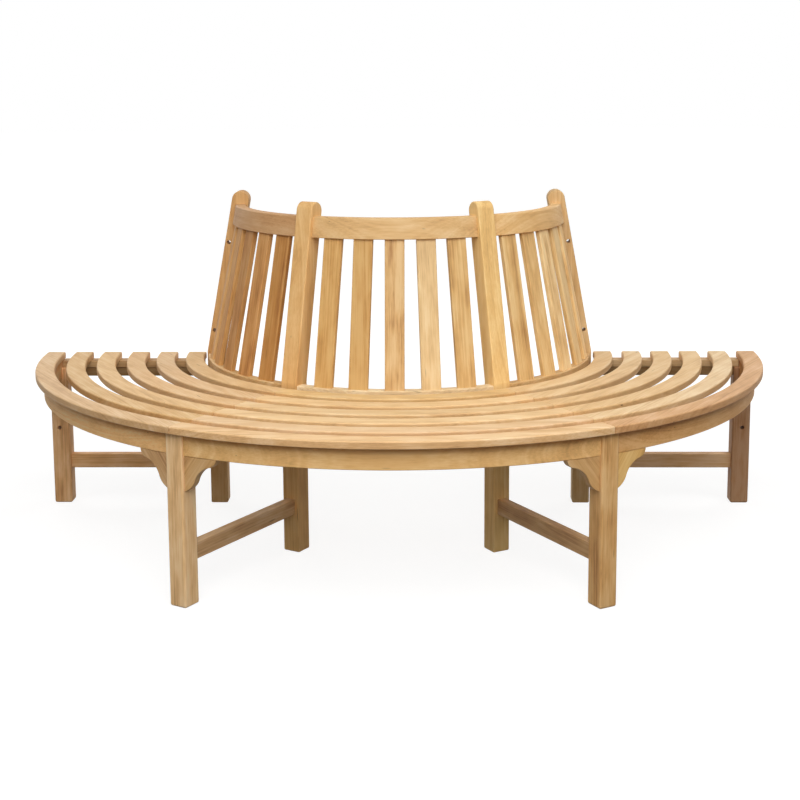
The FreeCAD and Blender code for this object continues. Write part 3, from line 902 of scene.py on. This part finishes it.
def camera(context):
    """Camera 1.34 m above the ground and 4.4 m in front of the tree axis, looking a little down."""
    lens = bpy.data.cameras.new("viewer")
    lens.sensor_width = 36.0
    lens.lens = 64.387
    lens.shift_y = -0.1375
    lens.clip_end = 200.0
    viewer = bpy.data.objects.new("viewer", lens)
    yaw, pitch, roll = (math.radians(degrees) for degrees in CAMERA_TURNS)
    forward = Vector((math.sin(yaw) * math.cos(pitch), math.cos(yaw) * math.cos(pitch), -math.sin(pitch)))
    right = Vector((math.cos(yaw), -math.sin(yaw), 0.0))
    up = right.cross(forward)
    rolled_right = right * math.cos(roll) + up * math.sin(roll)
    rolled_up = up * math.cos(roll) - right * math.sin(roll)
    turned = Matrix((rolled_right, rolled_up, -forward)).transposed()
    viewer.matrix_world = Matrix.Translation(CAMERA_PLACE) @ turned.to_4x4()
    context.scene.collection.objects.link(viewer)
    context.scene.camera = viewer


# Operators

class TREEBENCH_OT_seat_slats(bpy.types.Operator):
    """Makes the eighteen curved seat slats"""
    bl_idname = "tree_bench.seat_slats"
    bl_label = "Seat slats"

    def execute(self, context):
        sizes = bench(context)
        seat = sizes.seat
        edges = [seat.slat_bottom_edge] * 2 + [seat.slat_top_edge] * 2

        # Painted shade: each slat's sides darker than its top, the more so the further a face turns from
        # upwards, so the gaps between slats look shaded
        def painted_side_shade(_, section_normals):
            upwards = np.maximum(section_normals[..., 1], 0.0)
            return 1 - (1 - sizes.wood.slat_sides) * (1 - upwards)

        for ring in range(SEAT_RINGS):
            outer = sizes.inner_radius + ring * sizes.ring_pitch + seat.slat_width
            corners = rectangle(outer - seat.slat_width, sizes.slat_underside, outer, seat.height)
            for sector in range(SECTORS):
                gaps = [0.0 if is_end(end) else seat.sector_joint / 2 for end in (sector, sector + 1)]
                ring_board(context, f"seat_slat_{ring + 1}_{sector + 1}", f"seat_ring_{ring + 1}", sector,
                           corners, edges, gaps, seat.slat_end_edge, painted_side_shade)
        return {"FINISHED"}


class TREEBENCH_OT_aprons(bpy.types.Operator):
    """Makes the three curved aprons between the front legs"""
    bl_idname = "tree_bench.aprons"
    bl_label = "Aprons"

    def execute(self, context):
        sizes = bench(context)
        inner, face = sizes.apron_inner, sizes.apron_face
        low, high = sizes.apron_underside, sizes.slat_underside
        # The face and the back get a corner each where the painted shadow under the slats ends
        shadow_foot = high - sizes.wood.shadow_fade_height
        corners = [(inner, low), (face, low), (face, shadow_foot), (face, high), (inner, high), (inner, shadow_foot)]
        edges = [sizes.seat.apron_edge] * 2 + [0.0] + [SMALLEST_RADIUS] * 2 + [0.0]

        # Painted shadow: the apron's top, right under the slats, darker, fading out down the shadow's
        # height
        def painted_shadow_under_slats(section, _):
            up_band = np.clip((section[..., 1] - shadow_foot) / sizes.wood.shadow_fade_height, 0.0, 1.0)
            return 1 - (1 - sizes.wood.apron_top_shadow) * up_band

        for sector in range(SECTORS):
            ring_board(context, f"apron_board_{sector + 1}", f"apron_{sector + 1}", sector,
                       corners, edges, side_gaps(sizes, sector), HIDDEN_EASE, painted_shadow_under_slats)
        return {"FINISHED"}


class TREEBENCH_OT_brackets(bpy.types.Operator):
    """Makes the four ogee brackets beside the inner front legs"""
    bl_idname = "tree_bench.brackets"
    bl_label = "Brackets"

    def execute(self, context):
        sizes = bench(context)
        for number in FRAMES[1:-1]:
            for end in range(2):
                bracket(context, sizes, number, end)
        return {"FINISHED"}


class TREEBENCH_OT_battens(bpy.types.Operator):
    """Makes the six battens that carry the slat ends"""
    bl_idname = "tree_bench.battens"
    bl_label = "Battens"

    def execute(self, context):
        sizes = bench(context)
        seat = sizes.seat
        for sector in range(SECTORS):
            for end, number in enumerate((sector, sector + 1)):
                near = 0.0 if is_end(number) else seat.sector_joint / 2
                sides = (near, near + seat.batten_width)
                if end == 1:
                    sides = (-sides[1], -sides[0])
                corners = rectangle(sides[0], sizes.batten_underside, sides[1], sizes.slat_underside)
                straight_board(context, f"batten_strip_{sector + 1}_{end + 1}",
                               f"batten_{sector + 1}_{end + 1}", crosswise_axes(number), corners,
                               seat.batten_edge, sizes.batten_reach, seat.batten_edge)
        return {"FINISHED"}


class TREEBENCH_OT_bars(bpy.types.Operator):
    """Makes the four seat bearers and the four low stretchers"""
    bl_idname = "tree_bench.bars"
    bl_label = "Bearers and stretchers"

    def execute(self, context):
        sizes = bench(context)
        under = sizes.under
        reach = (sizes.post_face - SEATED, sizes.leg_inner + SEATED)
        kinds = {
            "seat_bearer": (sizes.batten_underside - under.bearer_height,
                            under.bearer_height, under.bearer_width),
            "stretcher": (under.stretcher_above_ground, under.stretcher_height, under.stretcher_width),
        }
        for kind, (low, height, width) in kinds.items():
            for number in FRAMES:
                middle = frame_middle(number, under.leg_width)
                corners = rectangle(middle - width / 2, low, middle + width / 2, low + height)
                straight_board(context, f"{kind}_bar_{number + 1}", f"{kind}_{number + 1}",
                               crosswise_axes(number), corners, under.bar_edge, reach, HIDDEN_EASE)
        return {"FINISHED"}


class TREEBENCH_OT_front_legs(bpy.types.Operator):
    """Makes the four front legs, with the bolt hole in the end ones"""
    bl_idname = "tree_bench.front_legs"
    bl_label = "Front legs"

    def execute(self, context):
        sizes = bench(context)
        under = sizes.under
        inner, face = sizes.leg_inner, sizes.leg_face
        shoulder = sizes.batten_reach[1] + sizes.seat.batten_end_play
        top = sizes.slat_underside + LEG_INTO_SLATS
        for number in FRAMES:
            heights = [under.hole_above_ground] if is_end(number) else []
            corners = [(inner, 0.0), (face, 0.0), *[(face, z) for z in heights], (face, top),
                       (shoulder, top), (shoulder, sizes.batten_underside),
                       (inner, sizes.batten_underside), *[(inner, z) for z in heights]]
            level = [0.0] * len(heights)
            radii = [under.leg_edge] * 2 + level + [SMALLEST_RADIUS] * 4 + level
            holes = [(face - under.hole_behind_face, z, sizes.back.bolt_hole / 2) for z in heights]
            upright_board(context, sizes, "front_leg", number, corners, radii, under.leg_edge, holes)
        return {"FINISHED"}


class TREEBENCH_OT_back_posts(bpy.types.Operator):
    """Makes the four raked back posts, with the bolt holes in the end ones"""
    bl_idname = "tree_bench.back_posts"
    bl_label = "Back posts"

    def execute(self, context):
        sizes = bench(context)
        back = sizes.back
        rear = sizes.post_face - back.post_depth
        # The square corners of the head lie on the raked sides, one head radius past its middle.
        # Its two arcs stop a hair short of each other, so that no points coincide.
        head_radius = back.post_depth * math.cos(back.rake) / 2
        head_arc = head_radius - HAIR
        middle_height = back.height - head_radius
        middle = np.array([post_face_at(sizes, middle_height) - back.post_depth / 2, middle_height])
        along = head_radius * np.array([-math.sin(back.rake), math.cos(back.rake)])
        across = head_radius * np.array([math.cos(back.rake), math.sin(back.rake)])
        for number in FRAMES:
            heights = []
            if is_end(number):
                heights = [sizes.seat.height + back.lower_hole_above_seat,
                           back.height - back.upper_hole_below_head]
            corners = [(rear, 0.0), (sizes.post_face, 0.0), (sizes.post_face, sizes.rake_start),
                       *[(post_face_at(sizes, z), z) for z in heights],
                       tuple(middle + along + across), tuple(middle + along - across),
                       *[(post_face_at(sizes, z) - back.post_depth, z) for z in reversed(heights)],
                       (rear, sizes.rake_start)]
            level = [0.0] * len(heights)
            radii = [back.post_foot_edge, back.post_foot_edge, back.post_bend, *level,
                     head_arc, head_arc, *level, back.post_bend]
            holes = [(post_face_at(sizes, z) - back.hole_behind_face, z, back.bolt_hole / 2)
                     for z in heights]
            upright_board(context, sizes, "back_post", number, corners, radii, back.post_edge, holes,
                          POST_CORNER_STEPS)
        return {"FINISHED"}


class TREEBENCH_OT_back_rails(bpy.types.Operator):
    """Makes the three top rails and the three low rails"""
    bl_idname = "tree_bench.back_rails"
    bl_label = "Back rails"

    def execute(self, context):
        sizes = bench(context)
        back = sizes.back
        low, high = sizes.top_rail
        raked = [top_rail_outer(sizes, low), top_rail_outer(sizes, high)]
        upright = low_rail_outer(sizes)
        sections = {
            "top_rail": ([(raked[0] - back.top_rail_thickness, low), (raked[0], low),
                          (raked[1], high), (raked[1] - back.top_rail_thickness, high)],
                         back.top_rail_edge),
            "low_rail": (rectangle(upright - back.low_rail_thickness, sizes.low_rail[0],
                                   upright, sizes.low_rail[1]),
                         back.low_rail_edge),
        }
        for kind, (corners, upper_edge) in sections.items():
            edges = [back.rail_bottom_edge] * 2 + [upper_edge] * 2
            for sector in range(SECTORS):
                ring_board(context, f"{kind}_board_{sector + 1}", f"{kind}_{sector + 1}", sector,
                           corners, edges, side_gaps(sizes, sector), HIDDEN_EASE)
        return {"FINISHED"}


class TREEBENCH_OT_back_slats(bpy.types.Operator):
    """Makes the fifteen back slats, five fanned out in each sector"""
    bl_idname = "tree_bench.back_slats"
    bl_label = "Back slats"

    def execute(self, context):
        sizes = bench(context)
        back = sizes.back
        low, high = sizes.low_rail[1], sizes.top_rail[0]
        foot = np.array([low_rail_outer(sizes) - back.low_rail_thickness / 2, low])
        head = np.array([top_rail_outer(sizes, high) - back.top_rail_thickness / 2, high])
        length = np.linalg.norm(head - foot)
        lean = (head - foot) / length
        radius = (foot[0] + head[0]) / 2
        ends = [frame_angle(number) + math.asin(frame_middle(number, sizes.under.leg_width) / radius)
                for number in FRAMES]
        corners = rectangle(-back.slat_thickness / 2, -back.slat_width / 2,
                            back.slat_thickness / 2, back.slat_width / 2)
        reach = (-back.slat_housing, length + back.slat_housing)
        for sector in range(SECTORS):
            for number in range(SLATS_PER_SECTOR):
                part = (number + 1) / (SLATS_PER_SECTOR + 1)
                angle = (1 - part) * ends[sector] + part * ends[sector + 1]
                origin = TREE_AXIS + foot[0] * outward(angle) + foot[1] * UP
                line = lean[0] * outward(angle) + lean[1] * UP
                face = lean[1] * outward(angle) - lean[0] * UP
                straight_board(context, f"back_slat_board_{sector + 1}_{number + 1}",
                               f"back_slat_{sector + 1}_{number + 1}",
                               (origin, face, sideways(angle), line), corners, back.slat_edge,
                               reach, HIDDEN_EASE)
        return {"FINISHED"}


class TREEBENCH_OT_stage(bpy.types.Operator):
    """Makes the floor, the lamps, the surroundings and the camera"""
    bl_idname = "tree_bench.stage"
    bl_label = "Stage"

    def execute(self, context):
        floor(context)
        lamps(context)
        surroundings(context)
        camera(context)
        context.scene.view_settings.view_transform = "Standard"
        return {"FINISHED"}


OPERATORS = (
    TREEBENCH_OT_seat_slats, TREEBENCH_OT_aprons, TREEBENCH_OT_brackets, TREEBENCH_OT_battens,
    TREEBENCH_OT_bars, TREEBENCH_OT_front_legs, TREEBENCH_OT_back_posts, TREEBENCH_OT_back_rails,
    TREEBENCH_OT_back_slats, TREEBENCH_OT_stage,
)


class TREEBENCH_PT_panel(bpy.types.Panel):
    """Lists the steps that make the bench"""
    bl_idname = "TREEBENCH_PT_panel"
    bl_label = "Tree bench"
    bl_space_type = "VIEW_3D"
    bl_region_type = "UI"
    bl_category = "Tree bench"

    def draw(self, context):
        for operator in OPERATORS:
            self.layout.operator(operator.bl_idname)


GROUPS = {
    "tree_bench_seat": TreeBenchSeat,
    "tree_bench_back": TreeBenchBack,
    "tree_bench_underframe": TreeBenchUnderframe,
    "tree_bench_wood": TreeBenchWood,
    "tree_bench_studio": TreeBenchStudio,
}


def register():
    for kind in (*GROUPS.values(), *OPERATORS, TREEBENCH_PT_panel):
        bpy.utils.register_class(kind)
    for name, group in GROUPS.items():
        setattr(bpy.types.Scene, name, bpy.props.PointerProperty(type=group))


def unregister():
    for name in GROUPS:
        delattr(bpy.types.Scene, name)
    for kind in (TREEBENCH_PT_panel, *reversed(OPERATORS), *reversed(GROUPS.values())):
        bpy.utils.unregister_class(kind)


def main():
    register()
    for operator in OPERATORS:
        module, name = operator.bl_idname.split(".")
        getattr(getattr(bpy.ops, module), name)()


if __name__ == "__main__":
    main()
